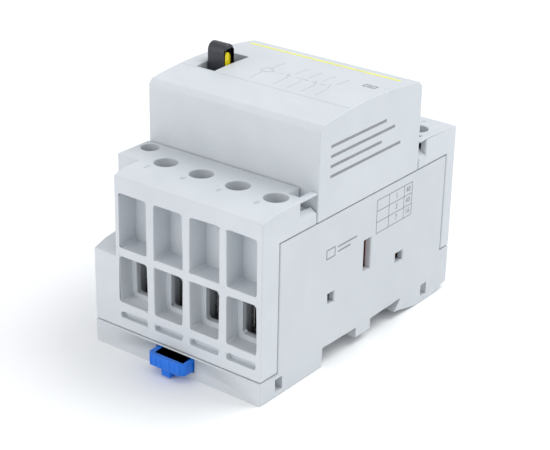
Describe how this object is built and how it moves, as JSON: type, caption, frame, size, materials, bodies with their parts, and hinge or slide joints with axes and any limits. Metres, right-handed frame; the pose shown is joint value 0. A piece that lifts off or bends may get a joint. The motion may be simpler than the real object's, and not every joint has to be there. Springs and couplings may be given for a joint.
{
  "type": "din rail contactor",
  "caption": "Modular DIN rail contactor: light grey stepped housing with recessed terminals, screw shafts, manual tilt lever on the nose and a sliding rail clip.",
  "frame": {"origin": "centre of the footprint, housing and clip handle together, at the level of the feet", "axes": "+X along the rail, +Y from the front terminals with the clip handle to the rear terminals, +Z away from the rail, up through the nose and its lever"},
  "size_m": [0.054, 0.0892, 0.0728],
  "materials": {
    "base_shell": "light grey moulded thermoplastic, fine satin texture",
    "cover_shell": "light grey moulded thermoplastic, fine satin texture",
    "blue_clip": "blue moulded acetal, semi-gloss",
    "black_frame": "black glass-filled plastic, matt",
    "core_steel": "laminated electrical steel, ground faces",
    "copper": "bare copper, lightly tarnished",
    "bobbin": "natural white nylon",
    "enamelled_wire": "enamelled copper wire, wound in layers",
    "brown_carrier": "red-brown thermoset, matt",
    "spring_wire": "drawn spring steel wire",
    "zinc_steel": "zinc-plated steel",
    "brass": "bare brass sheet",
    "lead_sleeve": "red insulating sleeve",
    "lever_plastic": "charcoal moulded plastic, semi-gloss",
    "yellow_insert": "yellow moulded plastic"
  },
  "bodies": {
    "housing": {"housing_base": "base_shell", "housing_cover": "cover_shell", "line_terminal_block": "cover_shell", "load_terminal_block": "cover_shell", "magnet_frame": "black_frame", "fixed_core": "core_steel", "shading_ring_left": "copper", "shading_ring_right": "copper", "coil_bobbin": "bobbin", "coil_winding": "enamelled_wire", "return_spring_left": "spring_wire", "return_spring_right": "spring_wire", "line_strip_1": "copper", "load_strip_1": "copper", "line_strip_2": "copper", "load_strip_2": "copper", "line_strip_3": "copper", "load_strip_3": "copper", "line_strip_4": "copper", "load_strip_4": "copper", "coil_strip_line": "brass", "coil_lead_line": "lead_sleeve", "coil_strip_load": "brass", "coil_lead_load": "lead_sleeve", "lever_pin": "zinc_steel"},
    "lever": {"lever": "lever_plastic", "lever_insert": "yellow_insert"},
    "clip": {"rail_clip": "blue_clip"},
    "carrier": {"contact_carrier": "brown_carrier", "moving_core": "core_steel", "contact_spring_1": "spring_wire", "contact_spring_2": "spring_wire", "contact_spring_3": "spring_wire", "contact_spring_4": "spring_wire"},
    "bridge_1": {"contact_bridge_1": "copper"},
    "bridge_2": {"contact_bridge_2": "copper"},
    "bridge_3": {"contact_bridge_3": "copper"},
    "bridge_4": {"contact_bridge_4": "copper"},
    "line_1_clamp": {"line_clamp_1": "zinc_steel"},
    "line_1_screw": {"line_screw_1": "zinc_steel"},
    "line_2_clamp": {"line_clamp_2": "zinc_steel"},
    "line_2_screw": {"line_screw_2": "zinc_steel"},
    "line_3_clamp": {"line_clamp_3": "zinc_steel"},
    "line_3_screw": {"line_screw_3": "zinc_steel"},
    "line_4_clamp": {"line_clamp_4": "zinc_steel"},
    "line_4_screw": {"line_screw_4": "zinc_steel"},
    "coil_line_clamp": {"coil_clamp_line": "zinc_steel"},
    "coil_line_screw": {"coil_screw_line": "zinc_steel"},
    "load_1_clamp": {"load_clamp_1": "zinc_steel"},
    "load_1_screw": {"load_screw_1": "zinc_steel"},
    "load_2_clamp": {"load_clamp_2": "zinc_steel"},
    "load_2_screw": {"load_screw_2": "zinc_steel"},
    "load_3_clamp": {"load_clamp_3": "zinc_steel"},
    "load_3_screw": {"load_screw_3": "zinc_steel"},
    "load_4_clamp": {"load_clamp_4": "zinc_steel"},
    "load_4_screw": {"load_screw_4": "zinc_steel"},
    "coil_load_clamp": {"coil_clamp_load": "zinc_steel"},
    "coil_load_screw": {"coil_screw_load": "zinc_steel"}
  },
  "joints": [
    {"name": "lever_tilt", "type": "hinge", "parent": "housing", "child": "lever", "pos_m": [-0.0191, 0.0005, 0.058], "axis": [1, 0, 0], "range_deg": [-22, 22]},
    {"name": "clip_slide", "type": "slide", "parent": "housing", "child": "clip", "axis": [0, -1, 0], "range_m": [0, 0.003], "stiffness_N_per_m": 1500, "springref_m": -0.001},
    {"name": "carrier_slide", "type": "slide", "parent": "housing", "child": "carrier", "axis": [0, 0, -1], "range_m": [0, 0.0032], "stiffness_N_per_m": 500, "springref_m": -0.004, "deforming": ["return_spring_left", "return_spring_right"]},
    {"name": "bridge_1_lift", "type": "slide", "parent": "carrier", "child": "bridge_1", "axis": [0, 0, 1], "range_m": [0, 0.0008], "stiffness_N_per_m": 800, "springref_m": -0.001, "deforming": ["contact_spring_1"]},
    {"name": "bridge_2_lift", "type": "slide", "parent": "carrier", "child": "bridge_2", "axis": [0, 0, 1], "range_m": [0, 0.0008], "stiffness_N_per_m": 800, "springref_m": -0.001, "deforming": ["contact_spring_2"]},
    {"name": "bridge_3_lift", "type": "slide", "parent": "carrier", "child": "bridge_3", "axis": [0, 0, 1], "range_m": [0, 0.0008], "stiffness_N_per_m": 800, "springref_m": -0.001, "deforming": ["contact_spring_3"]},
    {"name": "bridge_4_lift", "type": "slide", "parent": "carrier", "child": "bridge_4", "axis": [0, 0, 1], "range_m": [0, 0.0008], "stiffness_N_per_m": 800, "springref_m": -0.001, "deforming": ["contact_spring_4"]},
    {"name": "line_1_screw_turn", "type": "hinge", "parent": "housing", "child": "line_1_screw", "pos_m": [-0.0136, -0.0276, 0.033], "axis": [0, 0, -1], "range_deg": [0, 1800]},
    {"name": "line_1_clamp_rise", "type": "slide", "parent": "housing", "child": "line_1_clamp", "axis": [0, 0, 1], "range_m": [0, 0.004]},
    {"name": "line_2_screw_turn", "type": "hinge", "parent": "housing", "child": "line_2_screw", "pos_m": [-0.0021, -0.0276, 0.033], "axis": [0, 0, -1], "range_deg": [0, 1800]},
    {"name": "line_2_clamp_rise", "type": "slide", "parent": "housing", "child": "line_2_clamp", "axis": [0, 0, 1], "range_m": [0, 0.004]},
    {"name": "line_3_screw_turn", "type": "hinge", "parent": "housing", "child": "line_3_screw", "pos_m": [0.0094, -0.0276, 0.033], "axis": [0, 0, -1], "range_deg": [0, 1800]},
    {"name": "line_3_clamp_rise", "type": "slide", "parent": "housing", "child": "line_3_clamp", "axis": [0, 0, 1], "range_m": [0, 0.004]},
    {"name": "line_4_screw_turn", "type": "hinge", "parent": "housing", "child": "line_4_screw", "pos_m": [0.0209, -0.0276, 0.033], "axis": [0, 0, -1], "range_deg": [0, 1800]},
    {"name": "line_4_clamp_rise", "type": "slide", "parent": "housing", "child": "line_4_clamp", "axis": [0, 0, 1], "range_m": [0, 0.004]},
    {"name": "coil_line_screw_turn", "type": "hinge", "parent": "housing", "child": "coil_line_screw", "pos_m": [-0.0232, -0.0228, 0.044], "axis": [0, 0, -1], "range_deg": [0, 1800]},
    {"name": "coil_line_clamp_rise", "type": "slide", "parent": "housing", "child": "coil_line_clamp", "axis": [0, 0, 1], "range_m": [0, 0.0025]},
    {"name": "load_1_screw_turn", "type": "hinge", "parent": "housing", "child": "load_1_screw", "pos_m": [-0.0136, 0.0341, 0.033], "axis": [0, 0, -1], "range_deg": [0, 1800]},
    {"name": "load_1_clamp_rise", "type": "slide", "parent": "housing", "child": "load_1_clamp", "axis": [0, 0, 1], "range_m": [0, 0.004]},
    {"name": "load_2_screw_turn", "type": "hinge", "parent": "housing", "child": "load_2_screw", "pos_m": [-0.0021, 0.0341, 0.033], "axis": [0, 0, -1], "range_deg": [0, 1800]},
    {"name": "load_2_clamp_rise", "type": "slide", "parent": "housing", "child": "load_2_clamp", "axis": [0, 0, 1], "range_m": [0, 0.004]},
    {"name": "load_3_screw_turn", "type": "hinge", "parent": "housing", "child": "load_3_screw", "pos_m": [0.0094, 0.0341, 0.033], "axis": [0, 0, -1], "range_deg": [0, 1800]},
    {"name": "load_3_clamp_rise", "type": "slide", "parent": "housing", "child": "load_3_clamp", "axis": [0, 0, 1], "range_m": [0, 0.004]},
    {"name": "load_4_screw_turn", "type": "hinge", "parent": "housing", "child": "load_4_screw", "pos_m": [0.0209, 0.0341, 0.033], "axis": [0, 0, -1], "range_deg": [0, 1800]},
    {"name": "load_4_clamp_rise", "type": "slide", "parent": "housing", "child": "load_4_clamp", "axis": [0, 0, 1], "range_m": [0, 0.004]},
    {"name": "coil_load_screw_turn", "type": "hinge", "parent": "housing", "child": "coil_load_screw", "pos_m": [-0.0232, 0.0293, 0.044], "axis": [0, 0, -1], "range_deg": [0, 1800]},
    {"name": "coil_load_clamp_rise", "type": "slide", "parent": "housing", "child": "coil_load_clamp", "axis": [0, 0, 1], "range_m": [0, 0.0025]}
  ],
  "couplings": [
    {"joint": "line_1_screw_turn", "follows": "line_1_clamp_rise", "rad_per_m": 7853.9},
    {"joint": "line_2_screw_turn", "follows": "line_2_clamp_rise", "rad_per_m": 7853.9},
    {"joint": "line_3_screw_turn", "follows": "line_3_clamp_rise", "rad_per_m": 7853.9},
    {"joint": "line_4_screw_turn", "follows": "line_4_clamp_rise", "rad_per_m": 7853.9},
    {"joint": "coil_line_screw_turn", "follows": "coil_line_clamp_rise", "rad_per_m": 12566},
    {"joint": "load_1_screw_turn", "follows": "load_1_clamp_rise", "rad_per_m": 7853.9},
    {"joint": "load_2_screw_turn", "follows": "load_2_clamp_rise", "rad_per_m": 7853.9},
    {"joint": "load_3_screw_turn", "follows": "load_3_clamp_rise", "rad_per_m": 7853.9},
    {"joint": "load_4_screw_turn", "follows": "load_4_clamp_rise", "rad_per_m": 7853.9},
    {"joint": "coil_load_screw_turn", "follows": "coil_load_clamp_rise", "rad_per_m": 12566}
  ]
}
